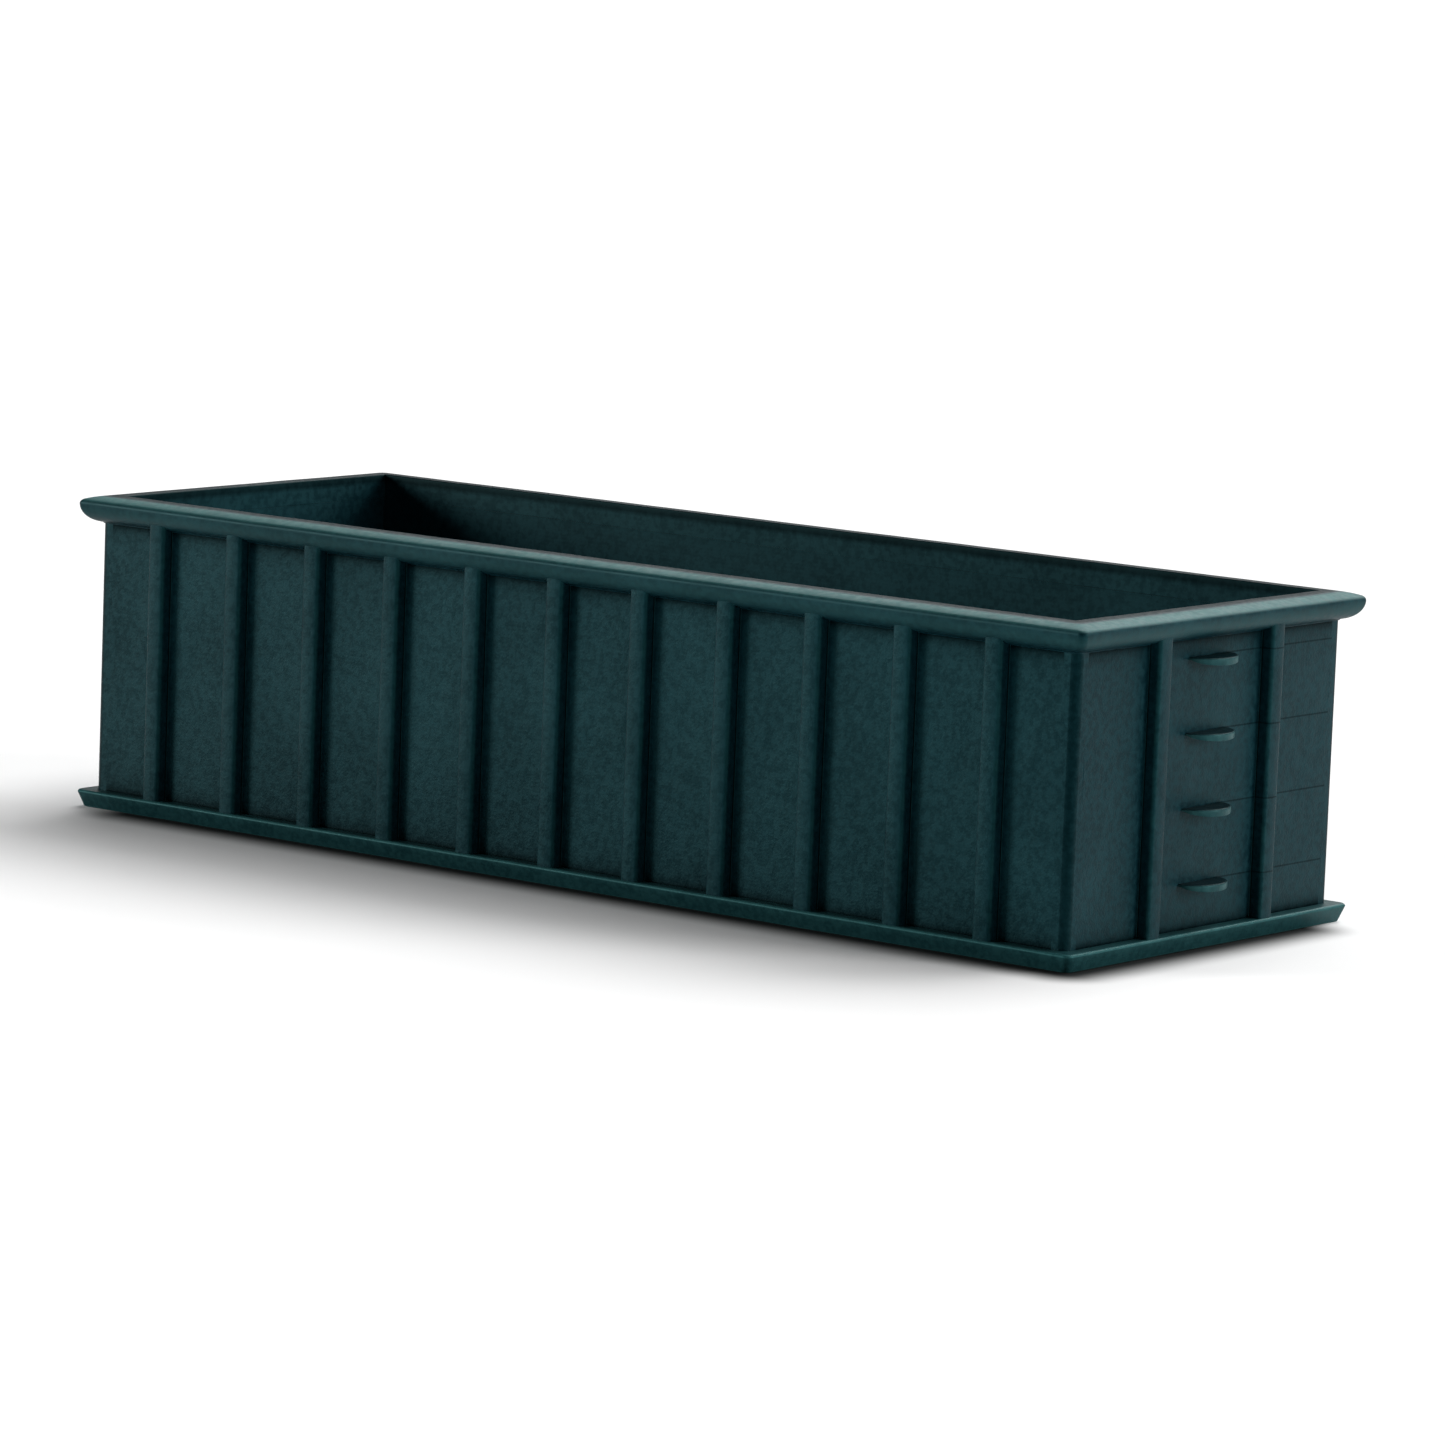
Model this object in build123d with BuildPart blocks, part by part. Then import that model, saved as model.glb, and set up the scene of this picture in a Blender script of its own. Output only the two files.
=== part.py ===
from build123d import *
import math
import os

# Open-top ribbed grain box, full size, in millimetres.
# Origin: middle of the base on the ground. +X points to the end with the steps (front),
# the grain gate is on the -X end (rear), the right side is -Y, +Z is up.

# --- overall sizes ---
box_length = 6890.0
box_width = 2425.0
box_height = 1800.0

# --- double-skin wall ---
wall_depth = 95.0
sheet_thickness = 4.0
liner_thickness = 4.0
corner_radius = 50.0
corner_wall = 6.0
stud_width = 50.0
stud_wall = 4.0

# --- base frame and floor ---
base_height = 100.0
base_lip = 9.0
base_lean = 25.0
base_ledge = 40.0
base_wall = 6.0
mitre_spare = 300.0
floor_thickness = 6.0
sill_width = 100.0
sill_wall = 6.0
sill_spread = 860.0
cross_flange = 50.0
cross_wall = 6.0

# --- rolled top rail ---
rail_lip = 30.0
rail_edge_radius = 38.0
rail_back_radius = 55.0
rail_wall = 5.0

# --- outside posts ---
side_post_count = 11
side_post_margin = 436.0
end_post_gap = 40.0
post_width = 118.0
post_depth = 72.0
post_wall = 5.0
post_bend_radius = 22.0

# --- steps on the front end ---
step_count = 4
step_foot_gap = 250.0
step_head_gap = 110.0
step_width = 380.0
step_reach = 130.0
step_height = 42.0
step_wall = 5.0
step_edge_radius = 4.0
step_centre_y = -30.0

# --- grain gate on the rear end ---
outlet_width = 500.0
outlet_height = 350.0
outlet_rise = 24.0
collar_wall = 5.0
collar_plate = 8.0
collar_foot = 22.0
door_thickness = 8.0
door_overlap = 40.0
door_foot_overlap = 18.0
door_gap = 2.0
door_side_gap = 4.0
door_fold_reach = 22.0
door_fold_gap = 2.0
guide_width = 40.0
guide_lip = 10.0
guide_lip_cover = 24.0
guide_spare = 40.0

# --- rack, pinion and hand wheel that lift the gate ---
gear_module = 6.0
pinion_teeth = 16
pressure_angle = math.radians(20.0)
gear_backlash = 0.6
rack_tip = 4.5
gear_root = 7.5
rack_thickness = 20.0
rack_spare_teeth = 2
flank_steps = 4
shaft_radius = 12.5
shaft_rise = 120.0
shaft_clearance = 0.05
shaft_spare = 14.0
pinion_width = 24.0
bracket_plate = 12.0
bracket_height = 120.0
bracket_nose = 30.0
wheel_radius = 140.0
wheel_rim_radius = 10.0
wheel_wall_gap = 23.0
wheel_spoke_radius = 7.0
wheel_spokes = 4
wheel_hub_radius = 24.0
wheel_hub_length = 40.0
wheel_hub_gap = 19.0
bolt_radius = 8.0
bolt_head_across = 24.0
bolt_head_height = 10.0
bolt_hole_gap = 0.5
bolt_nut_height = 13.0
bolt_rows = 4
bolt_end_margin = 50.0

# --- worked out from the sizes above ---
half_length = box_length / 2
half_width = box_width / 2
base_reach_top = post_depth + base_lip
base_reach_foot = base_reach_top - base_lean
rail_reach = post_depth + rail_lip
rail_height = rail_edge_radius + rail_reach
rail_foot = box_height - rail_height
wall_height = rail_foot - base_height
inner_half_length = half_length - wall_depth
inner_half_width = half_width - wall_depth
cavity_depth = wall_depth - sheet_thickness - liner_thickness
corner_size = wall_depth - liner_thickness
base_inner = wall_depth + base_ledge
side_post_pitch = (box_length - 2 * side_post_margin - post_width) / (side_post_count - 1)
side_post_start = -half_length + side_post_margin + post_width / 2
side_post_x = [side_post_start + i * side_post_pitch for i in range(side_post_count)]
step_first_top = base_height + step_foot_gap
step_pitch = (wall_height - step_foot_gap - step_head_gap) / (step_count - 1)
outlet_sill = base_height + floor_thickness + outlet_rise
outlet_middle = outlet_sill + outlet_height / 2
duct_width = outlet_width + 2 * collar_wall
duct_height = outlet_height + 2 * collar_wall
gate_travel = outlet_height
door_half_width = outlet_width / 2 + door_overlap
door_foot = outlet_sill - door_foot_overlap
door_head = outlet_sill + outlet_height + door_overlap
guide_depth = collar_plate + 2 * door_gap + door_thickness
guide_inner = door_half_width + door_side_gap
guide_outer = guide_inner + guide_width
guide_middle_y = guide_inner + guide_width / 2
guide_top = door_head + gate_travel + guide_spare
guide_height = guide_top - base_height
bracket_outer = guide_outer + bracket_plate
wheel_y = bracket_outer + wheel_hub_gap + wheel_hub_length / 2
shaft_height = door_head + shaft_rise
shaft_right_end = -bracket_outer - shaft_spare
shaft_left_end = wheel_y + wheel_hub_length / 2 + shaft_spare
end_post_place = shaft_left_end + end_post_gap + post_width / 2
end_post_y = [-end_post_place, end_post_place]
post_runs = {"right": side_post_x, "left": side_post_x, "front": end_post_y, "rear": end_post_y}

os.makedirs("parts", exist_ok=True)


def write(builder, name):
    """Label one finished piece and write it as its own file."""
    builder.part.label = name
    export_step(builder.part, f"parts/{name}.step")


# Each wall: which way it faces, how far its face is from the middle, half of its run.
walls = {
    "right": (Vector(0, -1, 0), half_width, half_length),
    "left": (Vector(0, 1, 0), half_width, half_length),
    "front": (Vector(1, 0, 0), half_length, half_width),
    "rear": (Vector(-1, 0, 0), half_length, half_width),
}


def plan_of(place, height):
    """Level plane on a wall's face: x runs outwards, y along the wall."""
    outward, distance, _ = walls[place]
    return Plane(origin=outward * distance + Vector(0, 0, height), x_dir=outward, z_dir=(0, 0, 1))


def section_of(place):
    """Upright plane across the middle of a wall: x runs outwards, y up."""
    outward, distance, _ = walls[place]
    return Plane(origin=outward * distance, x_dir=outward, z_dir=outward.cross(Vector(0, 0, 1)))


def mitre_area(place):
    """Ground outline of a wall's share of the frame, out to its two 45 degree mitres."""
    outward, distance, half_run = walls[place]
    along = outward.cross(Vector(0, 0, 1))
    tip = outward * (distance + mitre_spare)
    reach = along * (half_run + mitre_spare)
    ridge = outward * max(distance - half_run, 0)
    ridge_reach = along * max(half_run - distance, 0)
    corners = [tip - reach, tip + reach, ridge + ridge_reach, ridge - ridge_reach]
    if ridge_reach.length == 0:
        corners.pop()
    return [(corner.X, corner.Y) for corner in corners]


def post_plan(place, run, inset):
    """Plan of a post at run, shrunk by inset on its three free sides, with two rounded bends."""
    depth = post_depth - inset
    low = run - post_width / 2 + inset
    high = run + post_width / 2 - inset
    with BuildSketch(plan_of(place, base_height)) as plan:
        with BuildLine():
            FilletPolyline(
                (0, low),
                (depth, low),
                (depth, high),
                (0, high),
                radius=post_bend_radius - inset,
            )
            Line((0, high), (0, low))
        make_face()
    return plan.sketch


def rail_section(place, inset):
    """Section of the top rail, shrunk by inset: rounded top edges and a quarter round below."""
    centre = box_height - rail_edge_radius
    reach = rail_reach - inset
    edge = rail_edge_radius - inset
    back_edge = rail_back_radius - inset
    back_centre = (rail_back_radius - wall_depth, box_height - rail_back_radius)
    top = box_height - inset
    back = inset - wall_depth
    with BuildSketch(section_of(place)) as section:
        with BuildLine():
            Line((back, centre - reach), (back, box_height - rail_back_radius))
            CenterArc(back_centre, back_edge, 90, 90)
            Line((rail_back_radius - wall_depth, top), (rail_reach - rail_edge_radius, top))
            CenterArc((rail_reach - rail_edge_radius, centre), edge, 0, 90)
            CenterArc((0, centre), reach, 270, 90)
            Line((0, centre - reach), (back, centre - reach))
        make_face()
    return section.sketch


def base_section(place, inset):
    """Section of the base rail, shrunk by inset: its face leans in towards the ground."""
    lean = (base_reach_top - base_reach_foot) / base_height
    back = inset - base_inner
    face_inset = inset * math.hypot(1, lean)
    foot = base_reach_foot + lean * inset - face_inset
    brow = base_reach_top - lean * inset - face_inset
    top = base_height - inset
    with BuildSketch(section_of(place)) as section:
        with BuildLine():
            Polyline((back, inset), (foot, inset), (brow, top), (back, top), close=True)
        make_face()
    return section.sketch


def corner_plan(inset):
    """Plan of the corner post in the +X +Y corner, shrunk by inset."""
    x_far = half_length - inset
    y_far = half_width - inset
    x_near = half_length - corner_size + inset
    y_near = half_width - corner_size + inset
    with BuildSketch(Plane.XY.offset(base_height)) as plan:
        with BuildLine():
            FilletPolyline(
                (x_near, y_near),
                (x_far, y_near),
                (x_far, y_far),
                (x_near, y_far),
                radius=[0, 0, corner_radius - inset, 0],
                close=True,
            )
        make_face()
    return plan.sketch


# --- base frame: four hollow rails, mitred at the corners ---
for place, (_, _, half_run) in walls.items():
    rail_run = half_run + mitre_spare
    with BuildPart() as base_rail:
        extrude(base_section(place, 0), amount=rail_run, both=True)
        extrude(base_section(place, base_wall), amount=rail_run, both=True, mode=Mode.SUBTRACT)
        with BuildSketch():
            with BuildLine():
                Polyline(*mitre_area(place), close=True)
            make_face()
        extrude(amount=base_height, mode=Mode.INTERSECT)
    write(base_rail, f"base_rail_{place}")

# --- long sills: two hollow beams along the bottom ---
sill_run = 2 * (half_length - base_inner)
sill_y = sill_spread / 2
with BuildPart() as long_sills:
    with BuildSketch(Plane.YZ.offset(-sill_run / 2)):
        with Locations((-sill_y, base_height / 2), (sill_y, base_height / 2)):
            Rectangle(sill_width, base_height)
            Rectangle(sill_width - 2 * sill_wall, base_height - 2 * sill_wall, mode=Mode.SUBTRACT)
    extrude(amount=sill_run)
write(long_sills, "long_sills")

# --- cross members: a channel under each pair of posts, framed in between rails and sills ---
cross_run = 2 * (half_width - base_inner)
cross_middle = base_height / 2
with BuildPart() as cross_members:
    with BuildSketch(Plane.XZ):
        with Locations(*[(x, cross_middle) for x in side_post_x]):
            Rectangle(cross_flange, base_height)
        with Locations(*[(x + cross_wall / 2, cross_middle) for x in side_post_x]):
            Rectangle(cross_flange - cross_wall, base_height - 2 * cross_wall, mode=Mode.SUBTRACT)
    extrude(amount=cross_run / 2, both=True)
    with BuildSketch():
        with Locations((0, -sill_y), (0, sill_y)):
            Rectangle(box_length, sill_width)
    extrude(amount=base_height, mode=Mode.SUBTRACT)
write(cross_members, "cross_members")

# --- floor plate: lies on the cross members and on the base rails' inner ledge ---
with BuildPart() as floor_plate:
    with BuildSketch(Plane.XY.offset(base_height)):
        Rectangle(2 * inner_half_length, 2 * inner_half_width)
    extrude(amount=floor_thickness)
write(floor_plate, "floor_plate")

# --- four hollow corner posts with a rounded outer corner ---
with BuildPart() as corner_posts:
    extrude(corner_plan(0), amount=wall_height)
    extrude(corner_plan(corner_wall), amount=wall_height, mode=Mode.SUBTRACT)
    mirror(about=Plane.YZ)
    mirror(about=Plane.XZ)
write(corner_posts, "corner_posts")

# --- studs inside the double wall, one behind each outside post ---
with BuildPart() as wall_studs:
    for place, runs in post_runs.items():
        with BuildSketch(plan_of(place, base_height)):
            with Locations(*[(-sheet_thickness - cavity_depth / 2, run) for run in runs]):
                Rectangle(cavity_depth, stud_width)
                Rectangle(cavity_depth - 2 * stud_wall, stud_width - 2 * stud_wall, mode=Mode.SUBTRACT)
        extrude(amount=wall_height)
write(wall_studs, "wall_studs")

# --- outer sheets and inner liners; the rear ones have the outlet cut through them ---
bolt_gap = (guide_height - 2 * bolt_end_margin) / (bolt_rows - 1)
bolt_places = [
    (side * guide_middle_y, base_height + bolt_end_margin + row * bolt_gap)
    for side in (-1, 1)
    for row in range(bolt_rows)
]


def rear_plane(outward):
    """Upright plane on the rear end, outward from its face: x runs to the right side, y up."""
    return Plane(origin=(-half_length - outward, 0, 0), x_dir=(0, -1, 0), z_dir=(-1, 0, 0))


for place, (_, distance, half_run) in walls.items():
    liner_run = half_run - (wall_depth if distance == half_length else wall_depth - liner_thickness)
    panels = {
        "outer_sheet": (-sheet_thickness / 2, sheet_thickness, half_run - corner_size),
        "inner_liner": (liner_thickness / 2 - wall_depth, liner_thickness, liner_run),
    }
    for panel_name, (middle, thickness, panel_run) in panels.items():
        with BuildPart() as panel:
            with BuildSketch(plan_of(place, base_height)):
                with Locations((middle, 0)):
                    Rectangle(thickness, 2 * panel_run)
            extrude(amount=wall_height)
            if place == "rear":
                with BuildSketch(rear_plane(-wall_depth)):
                    with Locations((0, outlet_middle)):
                        Rectangle(duct_width, duct_height)
                extrude(amount=wall_depth, mode=Mode.SUBTRACT)
            if place == "rear" and panel_name == "outer_sheet":
                with BuildSketch(rear_plane(-sheet_thickness)):
                    with Locations(*bolt_places):
                        Circle(bolt_radius + bolt_hole_gap)
                extrude(amount=sheet_thickness, mode=Mode.SUBTRACT)
        write(panel, f"{panel_name}_{place}")

# --- rolled top rail, mitred at the corners, and the outside posts cut to fit under it ---
for place, (_, _, half_run) in walls.items():
    rail_run = half_run + mitre_spare
    with BuildPart() as rail_core:
        extrude(rail_section(place, 0), amount=rail_run, both=True)
    with BuildPart() as top_rail:
        add(rail_core.part)
        extrude(rail_section(place, rail_wall), amount=rail_run, both=True, mode=Mode.SUBTRACT)
        with BuildSketch(Plane.XY.offset(rail_foot)):
            with BuildLine():
                Polyline(*mitre_area(place), close=True)
            make_face()
        extrude(amount=rail_height, mode=Mode.INTERSECT)
    write(top_rail, f"top_rail_{place}")
    for number, run in enumerate(post_runs[place], start=1):
        with BuildPart() as post:
            extrude(post_plan(place, run, 0), amount=wall_height + rail_reach)
            extrude(post_plan(place, run, post_wall), amount=wall_height + rail_reach, mode=Mode.SUBTRACT)
            add(rail_core.part, mode=Mode.SUBTRACT)
        write(post, f"post_{place}_{number:02d}")

# --- steps on the front end: D-shaped trays, open below ---
for step in range(step_count):
    step_top = step_first_top + step * step_pitch
    with BuildPart() as step_tray:
        with BuildSketch(Plane(origin=(half_length, step_centre_y, step_top))):
            Ellipse(step_reach, step_width / 2)
            split(bisect_by=Plane.YZ)
        extrude(amount=-step_height)
        rim = step_tray.edges().group_by(Axis.Z)[-1].sort_by(Axis.X)[-1:]
        fillet(rim, radius=step_edge_radius)
        with BuildSketch(Plane(origin=(half_length, step_centre_y, step_top - step_wall))):
            Ellipse(step_reach - step_wall, step_width / 2 - step_wall)
            split(bisect_by=Plane.YZ)
        extrude(amount=-step_height, mode=Mode.SUBTRACT)
    write(step_tray, f"step_{step + 1}")

# --- outlet collar: a duct through the double wall and a flange that the door slides on ---
collar_base = outlet_sill - collar_foot
with BuildPart() as outlet_collar:
    with BuildSketch(rear_plane(-wall_depth)):
        with Locations((0, outlet_middle)):
            Rectangle(duct_width, duct_height)
    extrude(amount=wall_depth)
    with BuildSketch(rear_plane(0)):
        with Locations((0, (door_head + collar_base) / 2)):
            Rectangle(2 * door_half_width, door_head - collar_base)
    extrude(amount=collar_plate)
    with BuildSketch(rear_plane(-wall_depth)):
        with Locations((0, outlet_middle)):
            Rectangle(outlet_width, outlet_height)
    extrude(amount=wall_depth + collar_plate, mode=Mode.SUBTRACT)
write(outlet_collar, "outlet_collar")

# --- gate guides: two uprights whose lips hold the door's edges ---
lip_inner = door_half_width - guide_lip_cover
with BuildPart() as gate_guides:
    for side in (-1, 1):
        with BuildSketch(plan_of("rear", base_height)):
            with BuildLine():
                Polyline(
                    (0, side * guide_inner),
                    (0, side * guide_outer),
                    (guide_depth + guide_lip, side * guide_outer),
                    (guide_depth + guide_lip, side * lip_inner),
                    (guide_depth, side * lip_inner),
                    (guide_depth, side * guide_inner),
                    close=True,
                )
            make_face()
        extrude(amount=guide_height)
    with BuildSketch(rear_plane(0)):
        with Locations(*bolt_places):
            Circle(bolt_radius + bolt_hole_gap)
    extrude(amount=guide_depth + guide_lip, mode=Mode.SUBTRACT)
write(gate_guides, "gate_guides")

# --- bolts that hold the guides to the wall: head, shank and a nut inside the wall ---
with BuildPart() as gate_bolts:
    with BuildSketch(rear_plane(guide_depth + guide_lip)):
        with Locations(*bolt_places):
            RegularPolygon(bolt_head_across / 2, 6, major_radius=False)
    extrude(amount=bolt_head_height)
    with BuildSketch(rear_plane(-sheet_thickness)):
        with Locations(*bolt_places):
            Circle(bolt_radius)
    extrude(amount=sheet_thickness + guide_depth + guide_lip)
    with BuildSketch(rear_plane(-sheet_thickness)):
        with Locations(*bolt_places):
            RegularPolygon(bolt_head_across / 2, 6, major_radius=False)
    extrude(amount=-bolt_nut_height)
write(gate_bolts, "gate_bolts")

# --- gate door: a flat plate with its top edge folded out, either side of the rack ---
door_inner = collar_plate + door_gap
door_outer = door_inner + door_thickness
with BuildPart() as gate_door:
    with BuildSketch(rear_plane(door_inner)):
        with Locations((0, (door_foot + door_head) / 2)):
            Rectangle(2 * door_half_width, door_head - door_foot)
    extrude(amount=door_thickness)
    fold_inner = rack_thickness / 2 + door_fold_gap
    fold_outer = lip_inner - door_side_gap
    with BuildSketch(rear_plane(door_outer)):
        fold_middle = (fold_inner + fold_outer) / 2
        with Locations(*[(side * fold_middle, door_head - door_thickness / 2) for side in (-1, 1)]):
            Rectangle(fold_outer - fold_inner, door_thickness)
    extrude(amount=door_fold_reach)
write(gate_door, "gate_door")

# --- rack: an upright rib on the door with teeth along its outer edge ---
tooth_pitch = math.pi * gear_module
pitch_radius = gear_module * pinion_teeth / 2
rack_stand = wheel_radius + wheel_rim_radius + wheel_wall_gap - pitch_radius
rack_teeth_below = math.ceil(gate_travel / tooth_pitch) + rack_spare_teeth
rack_foot = shaft_height - rack_teeth_below * tooth_pitch
rack_top = shaft_height + rack_spare_teeth * tooth_pitch
tooth_half = tooth_pitch / 4 - gear_backlash / 4
tooth_slope = math.tan(pressure_angle)
rack_profile = Plane(origin=(-half_length, 0, 0), x_dir=(-1, 0, 0), z_dir=(0, 1, 0))
with BuildPart() as gate_rack:
    with BuildSketch(rack_profile):
        rib_depth = rack_stand - gear_root - door_outer
        with Locations((door_outer + rib_depth / 2, (rack_foot + rack_top) / 2)):
            Rectangle(rib_depth, rack_top - rack_foot)
        for tooth in range(-rack_teeth_below, rack_spare_teeth):
            tooth_middle = shaft_height + (tooth + 0.5) * tooth_pitch
            root_half = tooth_half + gear_root * tooth_slope
            tip_half = tooth_half - rack_tip * tooth_slope
            with BuildLine():
                Polyline(
                    (rack_stand - gear_root, tooth_middle - root_half),
                    (rack_stand + rack_tip, tooth_middle - tip_half),
                    (rack_stand + rack_tip, tooth_middle + tip_half),
                    (rack_stand - gear_root, tooth_middle + root_half),
                    close=True,
                )
            make_face()
    extrude(amount=rack_thickness / 2, both=True)
write(gate_rack, "gate_rack")

# --- pinion: involute teeth that mesh with the rack ---
base_circle = pitch_radius * math.cos(pressure_angle)
tip_circle = pitch_radius + gear_module
root_circle = pitch_radius - gear_root
pitch_half_angle = (tooth_pitch / 2 - gear_backlash / 2) / 2 / pitch_radius
involute_start = math.tan(pressure_angle) - pressure_angle


def flank_point(radius, side):
    """A point on a tooth's involute flank, for a tooth that points along x."""
    roll = math.acos(min(base_circle / radius, 1.0))
    half_angle = pitch_half_angle + involute_start - (math.tan(roll) - roll)
    return (radius * math.cos(half_angle), side * radius * math.sin(half_angle))


flank_radii = [base_circle + i * (tip_circle - base_circle) / flank_steps for i in range(flank_steps + 1)]
axle_reach = rack_stand + pitch_radius
axle_plane = Plane(origin=(-half_length - axle_reach, 0, shaft_height), x_dir=(-1, 0, 0), z_dir=(0, 1, 0))
root_angle = pitch_half_angle + involute_start
root_x = root_circle * math.cos(root_angle) / 2
root_y = root_circle * math.sin(root_angle) / 2
with BuildSketch(mode=Mode.PRIVATE) as pinion_tooth:
    with BuildLine():
        lower = Spline([flank_point(radius, -1) for radius in flank_radii])
        upper = Spline([flank_point(radius, 1) for radius in flank_radii])
        Line(lower @ 1, upper @ 1)
        Polyline(lower @ 0, (root_x, -root_y), (root_x, root_y), upper @ 0)
    make_face()

with BuildPart() as gate_pinion:
    with BuildSketch(axle_plane):
        Circle(root_circle)
        with PolarLocations(0, pinion_teeth):
            add(pinion_tooth.sketch)
        Circle(shaft_radius, mode=Mode.SUBTRACT)
    extrude(amount=pinion_width / 2, both=True)
write(gate_pinion, "gate_pinion")

# --- bearing brackets on the outer sides of the guides ---
with BuildPart() as gate_brackets:
    for offset_y in (guide_outer, -guide_outer - bracket_plate):
        with BuildSketch(axle_plane.offset(offset_y)) as bracket_outline:
            with Locations((bracket_nose / 2 - axle_reach, 0)):
                Rectangle(bracket_nose, bracket_height)
            Circle(bracket_nose)
            make_hull()
            Circle(shaft_radius + shaft_clearance, mode=Mode.SUBTRACT)
        extrude(amount=bracket_plate)
write(gate_brackets, "gate_brackets")

# --- cross shaft with the hand wheel on its left end ---
with BuildPart() as gate_shaft:
    with BuildSketch(axle_plane.offset(shaft_right_end)):
        Circle(shaft_radius)
    extrude(amount=shaft_left_end - shaft_right_end)
write(gate_shaft, "gate_shaft")

spoke_length = wheel_radius - shaft_radius
with BuildPart(axle_plane.offset(wheel_y)) as gate_handwheel:
    Torus(wheel_radius, wheel_rim_radius)
    Cylinder(wheel_hub_radius, wheel_hub_length)
    with PolarLocations(shaft_radius + spoke_length / 2, wheel_spokes):
        Cylinder(wheel_spoke_radius, spoke_length, rotation=(0, 90, 0))
    Cylinder(shaft_radius, wheel_hub_length, mode=Mode.SUBTRACT)
write(gate_handwheel, "gate_handwheel")
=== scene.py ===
"""Looks for an open-top ribbed grain box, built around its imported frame.

The main sizes come from the frame's own boxes, and small rounds are named values. The visible outer
pieces are surfaces worked out with numpy; the pieces inside and under the box, the rear sheet and the
gate keep their frame meshes and get a finish.
"""

import logging
import math
from dataclasses import dataclass
from enum import Enum

import bmesh
import bpy
import numpy as np
from mathutils import Matrix, Vector


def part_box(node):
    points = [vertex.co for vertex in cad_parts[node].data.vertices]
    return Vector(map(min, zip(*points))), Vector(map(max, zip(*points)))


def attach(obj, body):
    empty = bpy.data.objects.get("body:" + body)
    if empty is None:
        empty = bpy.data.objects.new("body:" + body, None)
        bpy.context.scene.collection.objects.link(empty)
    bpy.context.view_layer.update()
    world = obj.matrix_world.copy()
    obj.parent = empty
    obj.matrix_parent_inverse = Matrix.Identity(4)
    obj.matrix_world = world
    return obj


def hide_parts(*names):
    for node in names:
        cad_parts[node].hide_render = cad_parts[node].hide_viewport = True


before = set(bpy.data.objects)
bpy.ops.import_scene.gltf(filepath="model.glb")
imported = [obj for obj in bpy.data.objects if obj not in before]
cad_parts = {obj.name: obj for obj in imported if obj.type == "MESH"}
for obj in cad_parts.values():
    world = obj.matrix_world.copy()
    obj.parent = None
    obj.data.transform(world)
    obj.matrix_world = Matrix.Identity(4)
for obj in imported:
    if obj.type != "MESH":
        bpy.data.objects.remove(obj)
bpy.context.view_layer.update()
Triple = tuple[float, float, float]
LOG = logging.getLogger("grain_box")
BOX_BODY = "box"
# How far a piece's hidden edge goes in behind the wall's face, in metres.
HIDDEN_TUCK = 0.003
# Points nearer than this are one point, in metres.
SAME_POINT = 1e-6
# The bend of an edge that counts as fully sharp, in radians a metre.
SHARP_BEND = 90.0
# Rails meet at the corners at this angle, each over this many chords, on at least this radius.
MITRE_ANGLE = 45.0
CORNER_STEPS = 8
LEAST_CORNER = 0.004
# How far rails wander in and out, and up and down, in metres. The wander fades towards the corners,
# over one part in so many of each half.
RAIL_SWAY = 0.0012
RAIL_HEAVE = 0.0010
FADE_PARTS = 6.0
# How fast the sway and the heave change across a rail's section, as shares of their rate along it.
SWAY_ACROSS = 0.35
HEAVE_ACROSS = 0.2
# How far apart the seeds of neighbouring rails and posts are.
RAIL_SEED_STEP = 5
POST_SEED_STEP = 17


class Wall(Enum):
    """The four walls, each with the way it faces and the way its run points."""

    RIGHT = ("right", (0.0, -1.0), (1.0, 0.0))
    LEFT = ("left", (0.0, 1.0), (-1.0, 0.0))
    FRONT = ("front", (1.0, 0.0), (0.0, 1.0))
    REAR = ("rear", (-1.0, 0.0), (0.0, -1.0))

    def __init__(self, place: str, outward: tuple[float, float], along: tuple[float, float]) -> None:
        """Keep the wall's name and its two level directions as arrays."""
        self.place = place
        self.outward = np.array(outward)
        self.along = np.array(along)


# ---------------------------------------------------------------- sizes read from the frame


@dataclass(frozen=True)
class BoxSizes:
    """The box's main sizes in metres, read from the frame."""

    half_length: float
    half_width: float
    height: float
    base_top: float
    base_reach: float
    base_back: float
    rail_foot: float
    rail_reach: float
    rail_back: float
    post_depth: float
    post_width: float

    @classmethod
    def from_frame(cls) -> "BoxSizes":
        """Read each size from the box of the node that carries it.

        Returns:
            The sizes in metres.
        """
        front_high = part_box("outer_sheet_front")[1]
        right_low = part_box("outer_sheet_right")[0]
        rail_low, rail_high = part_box("top_rail_right")
        base_low, base_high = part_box("base_rail_right")
        post_low, post_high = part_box("post_right_01")
        half_width = -right_low.y
        return cls(
            half_length=front_high.x,
            half_width=half_width,
            height=rail_high.z,
            base_top=base_high.z,
            base_reach=-base_low.y - half_width,
            base_back=base_high.y + half_width,
            rail_foot=rail_low.z,
            rail_reach=-rail_low.y - half_width,
            rail_back=rail_high.y + half_width,
            post_depth=-post_low.y - half_width,
            post_width=post_high.x - post_low.x,
        )

    def wall_distance(self, wall: Wall) -> float:
        """How far the wall's outer face is from the middle of the box."""
        return self.half_length if wall in (Wall.FRONT, Wall.REAR) else self.half_width

    def wall_run(self, wall: Wall) -> float:
        """Half of the wall's length along its face."""
        return self.half_width if wall in (Wall.FRONT, Wall.REAR) else self.half_length


# ---------------------------------------------------------------- surfaces


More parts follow.
